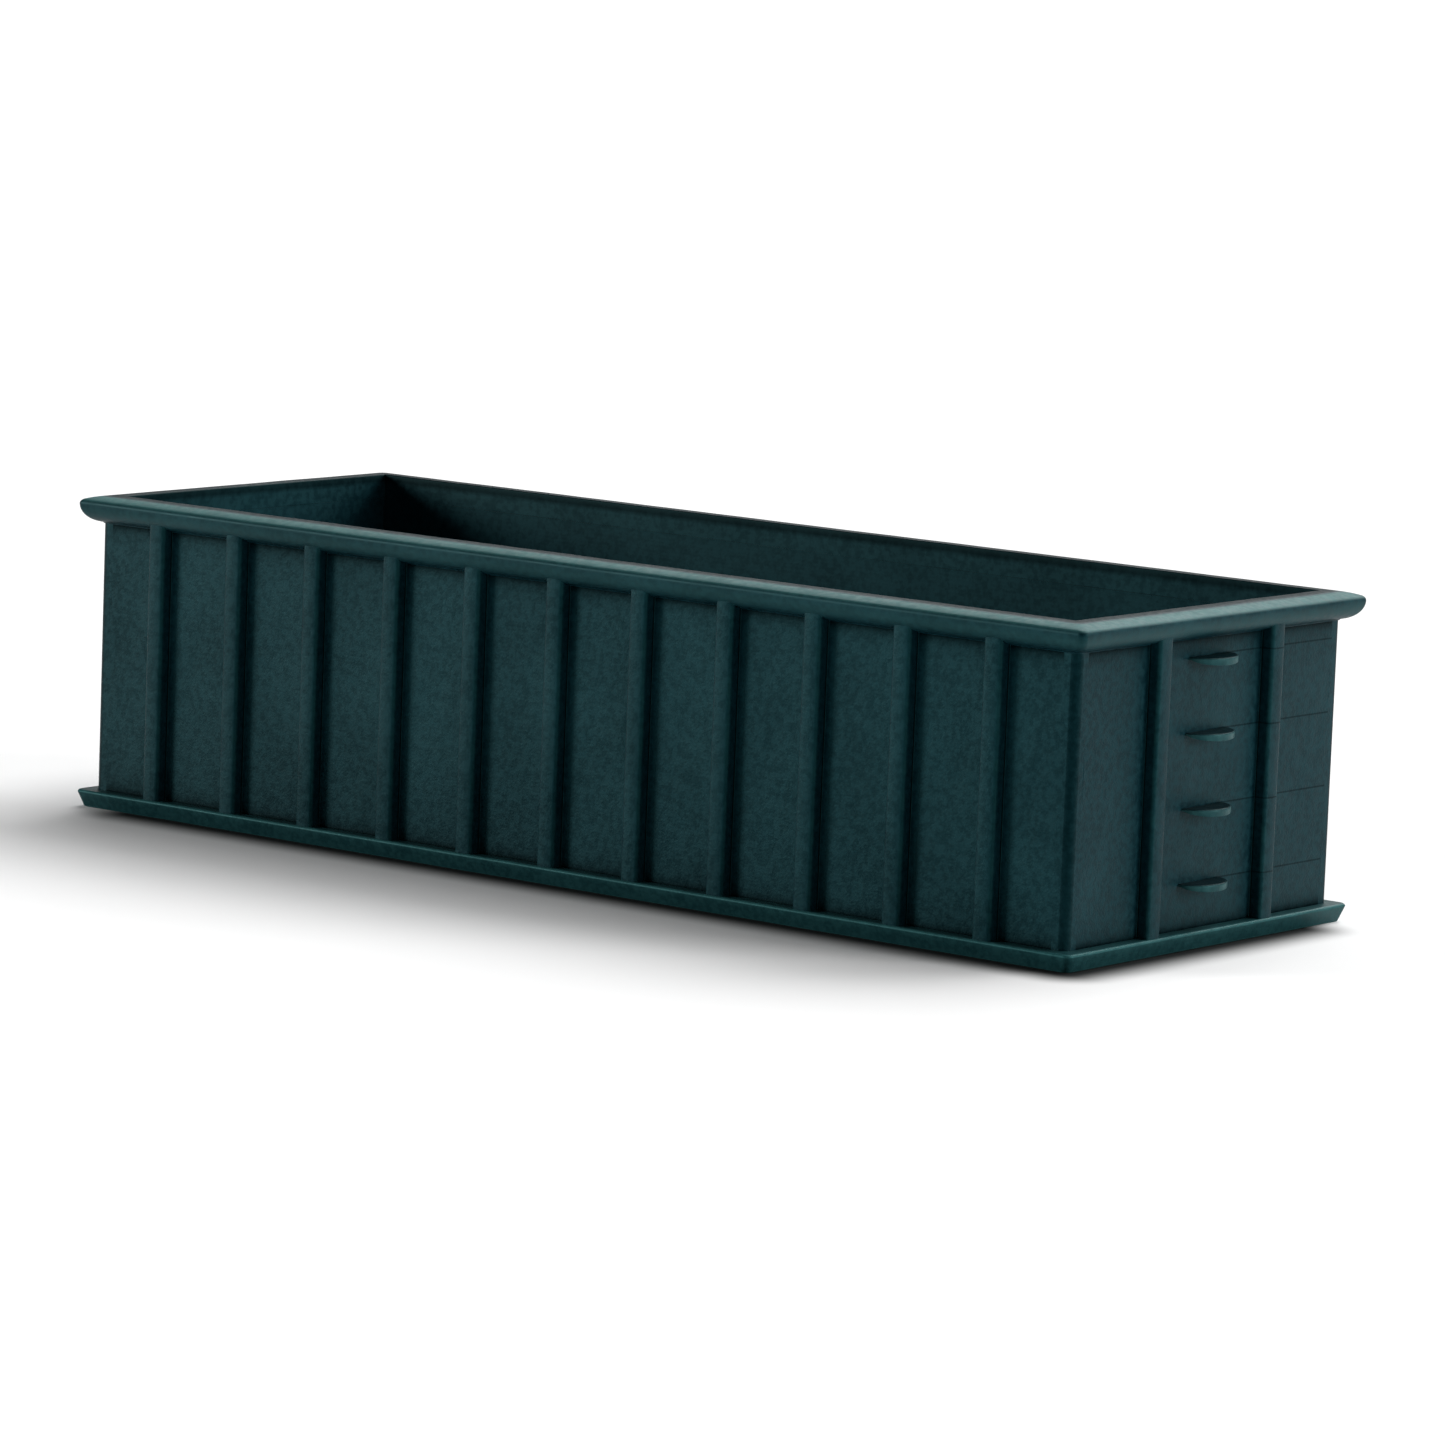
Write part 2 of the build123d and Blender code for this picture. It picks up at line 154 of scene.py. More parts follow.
def arc_points(
    centre: tuple[float, float], radius: float, start: float, sweep: float, steps: int
) -> np.ndarray:
    """Points on an arc: the centre plus the radius times the cosine and sine of an even run of angles.

    Args:
        centre: middle of the arc.
        radius: its radius.
        start: first angle in degrees.
        sweep: how far it turns in degrees, negative for clockwise.
        steps: number of chords.

    Returns:
        An array of steps + 1 points.
    """
    angles = np.radians(start + sweep * np.linspace(0.0, 1.0, steps + 1))
    return np.stack([centre[0] + radius * np.cos(angles), centre[1] + radius * np.sin(angles)], axis=1)


def divided(points: np.ndarray, longest: float) -> np.ndarray:
    """Put extra points on the long stretches of a closed outline, each stretch cut into equal parts.

    Args:
        points: corners of the outline, in order.
        longest: the longest stretch left between two points.

    Returns:
        The outline with its added points.
    """
    following = np.roll(points, -1, axis=0)
    counts = np.maximum(1, np.ceil(np.linalg.norm(following - points, axis=1) / longest).astype(int))
    starts = np.repeat(points, counts, axis=0)
    steps = np.repeat(following - points, counts, axis=0)
    order = np.arange(counts.sum()) - np.repeat(np.cumsum(counts) - counts, counts)
    return starts + steps * (order / np.repeat(counts, counts))[:, None]


def outline_bend(points: np.ndarray) -> np.ndarray:
    """How sharply a closed outline turns at each point: 1 on tight edges, 0 on flats, -1 in tight coves.

    The bend is the angle between the stretches before and after the point, over their mean length,
    so a tight edge gives a large value and a wide curve a small one. SHARP_BEND radians a metre is 1.

    Args:
        points: the outline, in order either way round.

    Returns:
        One value for each point.
    """
    following = np.roll(points, -1, axis=0)
    before = points - np.roll(points, 1, axis=0)
    after = following - points
    turn = np.arctan2(before[:, 0] * after[:, 1] - before[:, 1] * after[:, 0], (before * after).sum(axis=1))
    length = (np.linalg.norm(before, axis=1) + np.linalg.norm(after, axis=1)) / 2
    signed_area = (points[:, 0] * following[:, 1] - points[:, 1] * following[:, 0]).sum()
    bend = np.sign(signed_area) * turn / np.maximum(length, SAME_POINT)
    return np.clip(bend / SHARP_BEND, -1.0, 1.0)


def ripple(u: np.ndarray, v: np.ndarray, seed: int, lengths: tuple[float, ...]) -> np.ndarray:
    """Gentle unevenness: a sum of crossed sine waves, one pair per length, with seeded phases.

    Args:
        u: first coordinate in metres.
        v: second coordinate in metres.
        seed: picks the phases.
        lengths: wave lengths in metres.

    Returns:
        Heights between about -1 and 1, as wide as u and v together.
    """
    phases = np.random.default_rng(seed).uniform(0.0, 2.0 * math.pi, (len(lengths), 3))
    total = np.zeros(np.broadcast(u, v).shape)
    for length, (one, two, tilt) in zip(lengths, phases):
        turned = u * math.cos(tilt) + v * math.sin(tilt)
        crossed = v * math.cos(tilt) - u * math.sin(tilt)
        waves = np.sin(2 * math.pi * turned / length + one)
        total = total + waves * np.cos(2 * math.pi * crossed / length + two)
    return total / len(lengths)


@dataclass
class Surface:
    """A grid of points, stations by outline, that closes round its outline and has flat ends.

    Each point's value is 1 on a scuffed edge or a painted highlight, 0 on clean paint and -1 where
    shade is painted, for each point of the grid or for a row or a column that is spread over it.
    """

    grid: np.ndarray
    wear_and_light: np.ndarray

    def faces(self) -> list[list[int]]:
        """Quads between neighbouring stations, wrapped round the outline, and one face for each end.

        Returns:
            Lists of vertex numbers.
        """
        stations, around = self.grid.shape[:2]
        index = np.arange(stations * around).reshape(stations, around)
        turned = np.roll(index, -1, axis=1)
        quads = np.stack([index[:-1], turned[:-1], turned[1:], index[1:]], axis=-1).reshape(-1, 4)
        return quads.tolist() + [index[0].tolist(), index[-1].tolist()]

    def to_object(self, name: str, sharp_degrees: float = 40.0) -> bpy.types.Object:
        """Make the mesh and its object, with merged points, outward faces and smooth shading.

        Args:
            name: the object's name.
            sharp_degrees: edges that turn more than this stay sharp.

        Returns:
            The new object, at the origin.
        """
        mesh = bpy.data.meshes.new(name)
        mesh.from_pydata(self.grid.reshape(-1, 3), [], self.faces())
        wear_and_light = np.broadcast_to(self.wear_and_light, self.grid.shape[:2]).ravel().astype(np.float32)
        mesh.attributes.new("wear_and_painted_light", "FLOAT", "POINT").data.foreach_set("value", wear_and_light)
        work = bmesh.new()
        work.from_mesh(mesh)
        bmesh.ops.remove_doubles(work, verts=work.verts, dist=SAME_POINT)
        bmesh.ops.recalc_face_normals(work, faces=work.faces)
        work.to_mesh(mesh)
        work.free()
        mesh.polygons.foreach_set("use_smooth", np.ones(len(mesh.polygons), bool))
        mesh.set_sharp_from_angle(angle=math.radians(sharp_degrees))
        piece = bpy.data.objects.new(name, mesh)
        bpy.context.scene.collection.objects.link(piece)
        return piece


def place_piece(piece: bpy.types.Object, material: bpy.types.Material, slot: str, *nodes: str) -> None:
    """Dress a piece, ride it on the box and let it stand for its frame nodes.

    Args:
        piece: the new object.
        material: its finish.
        slot: the record's material slot; not used.
        nodes: the frame nodes it replaces.
    """
    piece.data.materials.append(material)
    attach(piece, BOX_BODY)
    if nodes:
        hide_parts(*nodes)
    LOG.info("made %s: %d faces", piece.name, len(piece.data.polygons))


def wall_points(
    sizes: BoxSizes, wall: Wall, along: np.ndarray, outward: np.ndarray, height: np.ndarray
) -> np.ndarray:
    """Turn wall coordinates into box coordinates: the wall's face is at outward 0.

    Args:
        sizes: the box.
        wall: which wall.
        along: distance along the wall from its middle.
        outward: distance out from the wall's face.
        height: height above the ground.

    Returns:
        Points with a last axis of x, y, z.
    """
    along, outward, height = np.broadcast_arrays(along, outward, height)
    level = wall.along * along[..., None] + wall.outward * (sizes.wall_distance(wall) + outward)[..., None]
    return np.concatenate([level, height[..., None]], axis=-1)


def carried_round_corners(
    sizes: BoxSizes, wall: Wall, outline: np.ndarray, corner_radius: float, station_gap: float, seed: int
) -> np.ndarray:
    """Carry an outline of outward and height along one wall, from mitre to mitre.

    The path is the straight wall with an eighth of a turn at each end. A point that stands outward
    by n turns on a circle of radius r about a centre r - n inside the wall's corner, so every
    point ends on the 45 degree mitre. Points deep inside the wall turn on a smaller circle. A
    ripple of a millimetre or so moves the straight part and fades towards the corners.

    Args:
        sizes: the box.
        wall: which wall.
        outline: points of outward and height.
        corner_radius: radius of the corner seen from above.
        station_gap: distance between stations on the straight part.
        seed: picks the ripple.

    Returns:
        The grid of points, stations by outline.
    """
    out, up = outline[:, 0], outline[:, 1]
    depth = np.clip((out + corner_radius) / corner_radius, 0.0, 1.0)
    radius = LEAST_CORNER + (corner_radius - LEAST_CORNER) * depth
    straight = sizes.wall_run(wall) + out - radius
    turn = np.radians(np.linspace(MITRE_ANGLE, 0.0, CORNER_STEPS + 1))[:-1, None]
    inward = radius * (1.0 - np.cos(turn))
    arc_along = straight + radius * np.sin(turn)
    count = int(2 * sizes.wall_run(wall) / station_gap)
    share = np.linspace(-1.0, 1.0, count + 1)[:, None]
    middle_along = share * straight
    along = np.concatenate([-arc_along, middle_along, arc_along[::-1]])
    outward = np.concatenate([out - inward, np.broadcast_to(out, middle_along.shape), (out - inward)[::-1]])
    fade = np.clip((1.0 - np.abs(along) / sizes.wall_run(wall)) * FADE_PARTS, 0.0, 1.0)
    sway = ripple(along, up * SWAY_ACROSS, seed, lengths=(2.3, 0.9, 0.41)) * fade
    heave = ripple(along, up * HEAVE_ACROSS, seed + 1, lengths=(1.9, 0.7)) * fade
    return wall_points(sizes, wall, along, outward + RAIL_SWAY * sway, up + RAIL_HEAVE * heave)


# ---------------------------------------------------------------- finishes


@dataclass
class NodeSheet:
    """A material's node tree with short helpers to add and join nodes."""

    material: bpy.types.Material

    @property
    def tree(self) -> bpy.types.NodeTree:
        """The material's node tree."""
        return self.material.node_tree

    def add(self, kind: str, **settings: object) -> bpy.types.Node:
        """Add a node and set its properties.

        Args:
            kind: the node's type, without its ShaderNode prefix.
            settings: properties to set on it.

        Returns:
            The new node.
        """
        node = self.tree.nodes.new("ShaderNode" + kind)
        for key, value in settings.items():
            setattr(node, key, value)
        return node

    def join(self, output: bpy.types.NodeSocket, node_input: bpy.types.NodeSocket) -> None:
        """Link an output to an input."""
        self.tree.links.new(output, node_input)

    def number(
        self, operation: str, first: object, second: object = 0.0, clamp: bool = False
    ) -> bpy.types.NodeSocket:
        """Add a math node on numbers or sockets.

        Args:
            operation: the math node's operation.
            first: a number or a socket.
            second: a number or a socket.
            clamp: whether the result is held between 0 and 1.

        Returns:
            Its output.
        """
        node = self.add("Math", operation=operation, use_clamp=clamp)
        for slot, value in enumerate((first, second)):
            if isinstance(value, bpy.types.NodeSocket):
                self.join(value, node.inputs[slot])
            else:
                node.inputs[slot].default_value = value
        return node.outputs[0]

    def stretched(self, where: bpy.types.NodeSocket, low: float, high: float) -> bpy.types.NodeSocket:
        """Map a value to 0 at low, 1 at high and a smooth step between.

        Args:
            where: the value's socket.
            low: the value that gives 0.
            high: the value that gives 1.

        Returns:
            The mapped value.
        """
        node = self.add("MapRange", interpolation_type="SMOOTHSTEP")
        self.join(where, node.inputs["Value"])
        node.inputs["From Min"].default_value = low
        node.inputs["From Max"].default_value = high
        return node.outputs["Result"]

    def noise(
        self, where: bpy.types.NodeSocket, scale: float, detail: float, squash: Triple = (1.0, 1.0, 1.0)
    ) -> bpy.types.NodeSocket:
        """Add a noise texture.

        Args:
            where: the coordinates.
            scale: how many blotches there are in a metre, about.
            detail: how many finer noises are added.
            squash: what x, y and z are multiplied by first.

        Returns:
            Its value.
        """
        mapping = self.add("Mapping")
        mapping.inputs["Scale"].default_value = squash
        self.join(where, mapping.inputs["Vector"])
        node = self.add("TexNoise")
        node.inputs["Scale"].default_value = scale
        node.inputs["Detail"].default_value = detail
        self.join(mapping.outputs["Vector"], node.inputs["Vector"])
        return node.outputs["Fac"]

    def blend(self, amount: bpy.types.NodeSocket, first: object, second: object) -> bpy.types.NodeSocket:
        """Mix two colours.

        Args:
            amount: how much of the second one, from 0 to 1.
            first: a socket, or red, green and blue.
            second: a socket, or red, green and blue.

        Returns:
            The mixed colour.
        """
        node = self.add("Mix", data_type="RGBA", blend_type="MIX")
        self.join(amount, node.inputs["Factor"])
        for name, value in (("A", first), ("B", second)):
            slot = next(s for s in node.inputs if s.name == name and s.type == "RGBA")
            if isinstance(value, bpy.types.NodeSocket):
                self.join(value, slot)
            else:
                slot.default_value = (*value, 1.0)
        return next(s for s in node.outputs if s.type == "RGBA")

    def bump(
        self,
        height: bpy.types.NodeSocket,
        strength: float,
        distance: float,
        below: bpy.types.NodeSocket | None = None,
    ) -> bpy.types.NodeSocket:
        """Add a bump node.

        Args:
            height: the pattern, from 0 to 1.
            strength: how much of the bump shows.
            distance: its height in metres.
            below: the normal of another bump that this one lies on.

        Returns:
            The new normal.
        """
        node = self.add("Bump")
        node.inputs["Strength"].default_value = strength
        node.inputs["Distance"].default_value = distance
        self.join(height, node.inputs["Height"])
        if below is not None:
            self.join(below, node.inputs["Normal"])
        return node.outputs["Normal"]


@dataclass(frozen=True)
class PaintFinish:
    """Satin paint on steel: mottled, orange peel, fine level lines, scuffed edges, painted highlights and
    painted shade.
    """

    name: str
    deep: Triple = (0.0010, 0.0102, 0.0147)
    light: Triple = (0.0030, 0.0206, 0.0282)
    # Lighter colour: scuffed edges on posts and foot rails, painted highlight on the top rail and steps
    rubbed_and_highlight: Triple = (0.010, 0.046, 0.046)
    dust: Triple = (0.030, 0.052, 0.050)
    roughness: float = 0.42
    rough_swing: float = 0.12
    dust_roughness: float = 0.3
    patch_share: float = 0.45
    streak_share: float = 0.22
    streak_run: Triple = (1.0, 1.0, 0.08)
    mottle: float = 0.26
    mottle_depth: float = 0.0024
    fine_depth: float = 0.0002
    dust_amount: float = 0.10
    dust_top: float = 0.55
    rub_and_highlight_amount: float = 0.45
    # Dark colour and strength of the painted shade, laid where a piece's own value is below 0
    painted_shade: Triple = (0.0002, 0.0016, 0.0020)
    painted_shade_amount: float = 0.90
    patchy: float = 0.85
    grain: float = 1.0
    gloss: float = 0.14
    sheen_tint: Triple = (0.25, 1.0, 1.0)
    seam_heights: tuple[float, ...] = ()
    seam_from_y: float = 0.0
    seam_start_run: float = 0.05
    seam_core: float = 0.0015
    seam_edge: float = 0.0070
    seam_amount: float = 0.55

    def seams(self, sheet: NodeSheet, place: bpy.types.NodeSocket) -> bpy.types.NodeSocket:
        """Faint level lines at given heights, on the side of the end beyond the steps.

        Each line is full at its height and falls to nothing at the seam edge's distance from it.

        Args:
            sheet: the node tree.
            place: object coordinates.

        Returns:
            How much of the line shows, from 0 to the seam amount.
        """
        split = sheet.add("SeparateXYZ")
        sheet.join(place, split.inputs[0])
        total: object = 0.0
        for height in self.seam_heights:
            away = sheet.number("ABSOLUTE", sheet.number("SUBTRACT", split.outputs["Z"], height))
            line = sheet.number("SUBTRACT", 1.0, sheet.stretched(away, self.seam_core, self.seam_edge))
            total = sheet.number("MAXIMUM", total, line)
        across = split.outputs["Y"]
        beyond = sheet.stretched(across, self.seam_from_y, self.seam_from_y + self.seam_start_run)
        return sheet.number("MULTIPLY", sheet.number("MULTIPLY", total, beyond), self.seam_amount)

    def dusty(self, sheet: NodeSheet, place: bpy.types.NodeSocket) -> bpy.types.NodeSocket:
        """Specks of dust that thin out from the ground up to the dust's top.

        Args:
            sheet: the node tree.
            place: object coordinates.

        Returns:
            How dusty the paint is, from 0 to the dust amount.
        """
        split = sheet.add("SeparateXYZ")
        sheet.join(place, split.inputs[0])
        low_down = sheet.number("SUBTRACT", 1.0, sheet.stretched(split.outputs["Z"], 0.0, self.dust_top))
        specks = sheet.stretched(sheet.noise(place, scale=90.0, detail=6.0), 0.45, 0.75)
        return sheet.number("MULTIPLY", sheet.number("MULTIPLY", low_down, specks), self.dust_amount)

    def worn_and_lit(
        self, sheet: NodeSheet, place: bpy.types.NodeSocket, edge: bpy.types.NodeSocket
    ) -> bpy.types.NodeSocket:
        """Patchy lightening where a piece's own value is above 0: scuffed edges, and painted highlights on
        the top rail and the steps.

        Args:
            sheet: the node tree.
            place: object coordinates.
            edge: the piece's own value for scuffing, painted highlight and painted shade.

        Returns:
            How much lighter the paint is, from 0 to the amount for scuffing and highlight.
        """
        spots = sheet.stretched(sheet.noise(place, scale=16.0, detail=6.0), 0.40, 0.62)
        spots = sheet.number("ADD", 1.0 - self.patchy, sheet.number("MULTIPLY", spots, self.patchy))
        rub = sheet.number("MULTIPLY", edge, spots, clamp=True)
        return sheet.number("MULTIPLY", rub, self.rub_and_highlight_amount)

    def texture(self, sheet: NodeSheet, place: bpy.types.NodeSocket) -> bpy.types.NodeSocket:
        """Fine grain, then orange peel, then level lines, each bump on the one before.

        Args:
            sheet: the node tree.
            place: object coordinates.

        Returns:
            The normal of the painted face.
        """
        fine = sheet.noise(place, scale=420.0, detail=2.0)
        pebbles = sheet.noise(place, scale=72.0, detail=4.0)
        lines = sheet.add("TexWave", wave_type="BANDS", bands_direction="Z", wave_profile="SIN")
        lines.inputs["Scale"].default_value = 13.0
        lines.inputs["Distortion"].default_value = 0.35
        lines.inputs["Detail"].default_value = 2.0
        sheet.join(place, lines.inputs["Vector"])
        normal = sheet.bump(fine, 0.20 * self.grain, self.fine_depth)
        normal = sheet.bump(pebbles, 0.60 * self.grain, self.mottle_depth, normal)
        return sheet.bump(lines.outputs["Fac"], 0.30 * self.grain, self.fine_depth, normal)

    def build(self) -> bpy.types.Material:
        """Make the material: the tone, then streaks, dust, scuffed edges with painted highlights, and
        painted shade laid over it.

        Returns:
            The new material.
        """
        material = bpy.data.materials.new(self.name)
        material.use_nodes = True
        sheet = NodeSheet(material)
        shader = sheet.tree.nodes["Principled BSDF"]
        place = sheet.add("TexCoord").outputs["Object"]
        patches = sheet.stretched(sheet.noise(place, scale=1.6, detail=3.0), 0.30, 0.70)
        mottle = sheet.stretched(sheet.noise(place, scale=30.0, detail=5.0), 0.36, 0.64)
        streaks = sheet.noise(place, scale=7.0, detail=4.0, squash=self.streak_run)
        streaks = sheet.stretched(streaks, 0.42, 0.75)
        patches = sheet.number("MULTIPLY", patches, self.patch_share)
        tone = sheet.number("ADD", patches, sheet.number("MULTIPLY", mottle, 1.0 - self.patch_share))
        edge = sheet.add("Attribute", attribute_name="wear_and_painted_light").outputs["Fac"]
        # Painted shade: below 0 the colour goes towards the dark shade colour and the gloss drops
        painted_shade = sheet.number("MULTIPLY", edge, -self.painted_shade_amount, clamp=True)
        dusty = self.dusty(sheet, place)
        colour = sheet.blend(tone, self.deep, self.light)
        colour = sheet.blend(sheet.number("MULTIPLY", streaks, self.streak_share), colour, self.light)
        colour = sheet.blend(dusty, colour, self.dust)
        colour = sheet.blend(self.worn_and_lit(sheet, place, edge), colour, self.rubbed_and_highlight)
        colour = sheet.blend(painted_shade, colour, self.painted_shade)
        uneven = sheet.number("ADD", 1.0 - self.mottle, sheet.number("MULTIPLY", tone, 2.0 * self.mottle))
        gloss = sheet.number("MULTIPLY", sheet.number("SUBTRACT", 1.0, painted_shade), self.gloss)
        gloss = sheet.number("MULTIPLY", gloss, uneven)
        if self.seam_heights:
            # The level seams are marks on the plate, drawn in the painted shade's dark colour
            seam = self.seams(sheet, place)
            colour = sheet.blend(seam, colour, self.painted_shade)
            gloss = sheet.number("MULTIPLY", gloss, sheet.number("SUBTRACT", 1.0, seam))
        rough = sheet.number("MULTIPLY", mottle, self.rough_swing)
        rough = sheet.number("ADD", rough, self.roughness - self.rough_swing / 2)
        rough = sheet.number("ADD", rough, sheet.number("MULTIPLY", dusty, self.dust_roughness))
        sheet.join(colour, shader.inputs["Base Color"])
        sheet.join(rough, shader.inputs["Roughness"])
        sheet.join(self.texture(sheet, place), shader.inputs["Normal"])
        sheet.join(gloss, shader.inputs["Specular IOR Level"])
        shader.inputs["Specular Tint"].default_value = (*self.sheen_tint, 1.0)
        material.diffuse_color = (*self.light, 1.0)
        return material


@dataclass(frozen=True)
class SteelFinish:
    """Bare or plated steel: turned or cut surface with fine scratches and a little grease."""

    name: str
    tone: Triple = (0.36, 0.37, 0.38)
    grease: Triple = (0.10, 0.095, 0.085)
    roughness: float = 0.38
    scratch_roughness: float = 0.18
    scratch_run: Triple = (1.0, 0.05, 1.0)
    smear_amount: float = 0.65
    metallic: float = 0.9

    def build(self) -> bpy.types.Material:
        """Make the material.

        Returns:
            The new material.
        """
        material = bpy.data.materials.new(self.name)
        material.use_nodes = True
        sheet = NodeSheet(material)
        shader = sheet.tree.nodes["Principled BSDF"]
        place = sheet.add("TexCoord").outputs["Object"]
        scratches = sheet.noise(place, scale=900.0, detail=3.0, squash=self.scratch_run)
        smear = sheet.stretched(sheet.noise(place, scale=26.0, detail=5.0), 0.50, 0.72)
        colour = sheet.blend(sheet.number("MULTIPLY", smear, self.smear_amount), self.tone, self.grease)
        rough = sheet.number("MULTIPLY", scratches, self.scratch_roughness)
        rough = sheet.number("ADD", rough, self.roughness)
        sheet.join(colour, shader.inputs["Base Color"])
        sheet.join(rough, shader.inputs["Roughness"])
        sheet.join(sheet.bump(scratches, strength=0.25, distance=0.0001), shader.inputs["Normal"])
        shader.inputs["Metallic"].default_value = self.metallic
        material.diffuse_color = (*self.tone, 1.0)
        return material


# ---------------------------------------------------------------- sub-assemblies


@dataclass
class TopRail:
    """The rolled rail round the top: four mitred lengths with a crowned top and a quarter round below."""

    sizes: BoxSizes
    material: bpy.types.Material
    crest_inset: float = 0.050
    crown_turn: float = 19.0
    tip_radius: float = 0.028
    inner_edge: float = 0.009
    cove_radius: float = 0.016
    cove_end: float = 152.0
    cove_rise: float = 0.008
    back_lift: float = 0.001
    corner_radius: float = 0.040
    station_gap: float = 0.08
    seed: int = 11
    # Painted highlight on the crown, painted shade on the inner edge, painted highlight on the quarter
    # round
    highlight_start: float = 0.066
    highlight_run: float = 0.052
    highlight_depth: float = 0.040
    highlight_fall: float = 0.028
    inner_edge_shade: float = 0.65
    lower_highlight: float = 0.20
    lower_highlight_run: float = 0.096

    def crown_radius(self) -> float:
        """Radius of the crown: its run from the crest to the tip's round, over the sine of its turn.

        Returns:
            The radius in metres.
        """
        crest = self.crest_inset - self.sizes.rail_back
        turn = math.radians(self.crown_turn)
        run = self.sizes.rail_reach - self.tip_radius + self.tip_radius * math.sin(turn) - crest
        return run / math.sin(turn)

    def under_centre(self) -> float:
        """Height of the centre that the tip's round and the quarter round share.

        The crown drops by its radius times one less the cosine of its turn, and the tip's centre
        lies its radius times the same cosine below that.

        Returns:
            The height in metres.
        """
        cosine = math.cos(math.radians(self.crown_turn))
        return self.sizes.height - self.crown_radius() * (1.0 - cosine) - self.tip_radius * cosine

    def outline(self) -> np.ndarray:
        """The rail's section as outward and height.

        It runs up the back and over a small inner edge, along a flat to the crest, down a wide
        crown, round the tip and down a quarter round about the wall's face, into a hollow cove.
        The cove's circle touches both that round and the wall, and its arc stops a little before
        the wall. Its centre stands its own radius out from the wall, and its drop below the quarter
        round's centre is the root of R squared plus twice R times the cove's radius.

        Returns:
            The closed outline.
        """
        sizes, cove, top = self.sizes, self.cove_radius, self.sizes.height
        reach, back, centre = sizes.rail_reach, sizes.rail_back, self.under_centre()
        crown, edge = self.crown_radius(), self.inner_edge
        drop = math.sqrt(reach * reach + 2.0 * reach * cove)
        touch = math.degrees(math.asin(cove / (reach + cove)))
        tip, turn, foot = self.tip_radius, self.crown_turn, sizes.rail_foot + self.back_lift
        corners = np.concatenate([
            [(-back, foot)],
            arc_points((edge - back, top - edge), edge, 180, -90, steps=5),
            arc_points((self.crest_inset - back, top - crown), crown, 90, -turn, steps=10),
            arc_points((reach - tip, centre), tip, 90 - turn, turn - 90, steps=8)[1:],
            arc_points((0.0, centre), reach, 0, touch - 90, steps=18)[1:],
            arc_points((cove, centre - drop), cove, 90 + touch, self.cove_end - 90 - touch, steps=6)[1:],
            [(-HIDDEN_TUCK, centre - drop + self.cove_rise), (-HIDDEN_TUCK, foot)],
        ])
        return divided(corners, longest=0.03)

    def painted_light(self, outline: np.ndarray) -> np.ndarray:
        """The rail's painted light: painted highlight up to 1, painted shade down to -1.

        On the crown the painted highlight rises by a smooth step on the outward distance and falls by
        another on the drop below the top; painted shade darkens the inner edge where the first step is
        still low. The quarter round below gets a faint painted highlight, as half a sine wave of its drop.

        Args:
            outline: the rail's section.

        Returns:
            One value for each point of the section.
        """
        out, up = outline[:, 0], outline[:, 1]
        across = np.clip((out + self.sizes.rail_back - self.highlight_start) / self.highlight_run, 0.0, 1.0)
        down = np.clip((up - self.sizes.height + self.highlight_depth) / self.highlight_fall, 0.0, 1.0)
        across = across**2 * (3.0 - 2.0 * across)
        crown = across * down**2 * (3.0 - 2.0 * down) - self.inner_edge_shade * (1.0 - across) * (down > 0.0)
        below = np.clip((self.under_centre() - up) / self.lower_highlight_run, 0.0, 1.0)
        return crown + self.lower_highlight * np.sin(math.pi * below) * (out > 0.0)

    def make(self) -> None:
        """Build the four lengths and let each stand for its frame node."""
        outline = self.outline()
        for number, wall in enumerate(Wall):
            seed = self.seed + RAIL_SEED_STEP * number
            grid = carried_round_corners(
                self.sizes, wall, outline, self.corner_radius, self.station_gap, seed
            )
            piece = Surface(grid, self.painted_light(outline)).to_object(f"rolled_rail_{wall.place}")
            place_piece(piece, self.material, "rail_paint", f"top_rail_{wall.place}")


@dataclass
class BaseRail:
    """The foot rail: four mitred lengths whose face leans in towards the ground."""

    sizes: BoxSizes
    material: bpy.types.Material
    lean: float = 0.025
    edge_radius: float = 0.014
    brow_inset: float = 1.02
    foot_radius: float = 0.012
    corner_radius: float = 0.040
    station_gap: float = 0.10
    seed: int = 41

    def outline(self) -> np.ndarray:
        """The rail's section: a flat top, a rounded brow, a leaning face and a rounded foot.

        The brow's centre is the brow inset, in radii, inside the rail's reach, because its round
        bulges past its highest point where the face leans in. The lean gives the face its tilt.

        Returns:
            The closed outline of outward and height.
        """
        sizes = self.sizes
        tilt = math.degrees(math.atan2(self.lean, sizes.base_top))
        brow = (sizes.base_reach - self.brow_inset * self.edge_radius, sizes.base_top - self.edge_radius)
        foot = (sizes.base_reach - self.lean - self.foot_radius, self.foot_radius)
        corners = np.concatenate([
            [(-sizes.base_back, 0.0), (-sizes.base_back, sizes.base_top)],
            arc_points(brow, self.edge_radius, 90.0, -90.0 - tilt, steps=8),
            arc_points(foot, self.foot_radius, -tilt, tilt - 90.0, steps=5),
        ])
        return divided(corners, longest=0.03)

    def make(self) -> None:
        """Build the four lengths and let each stand for its frame node."""
        outline = self.outline()
        for number, wall in enumerate(Wall):
            seed = self.seed + RAIL_SEED_STEP * number
            grid = carried_round_corners(
                self.sizes, wall, outline, self.corner_radius, self.station_gap, seed
            )
            grid[..., 2] = np.maximum(grid[..., 2], 0.0)
            piece = Surface(grid, outline_bend(outline)).to_object(f"foot_rail_{wall.place}")
            place_piece(piece, self.material, "body_paint", f"base_rail_{wall.place}")


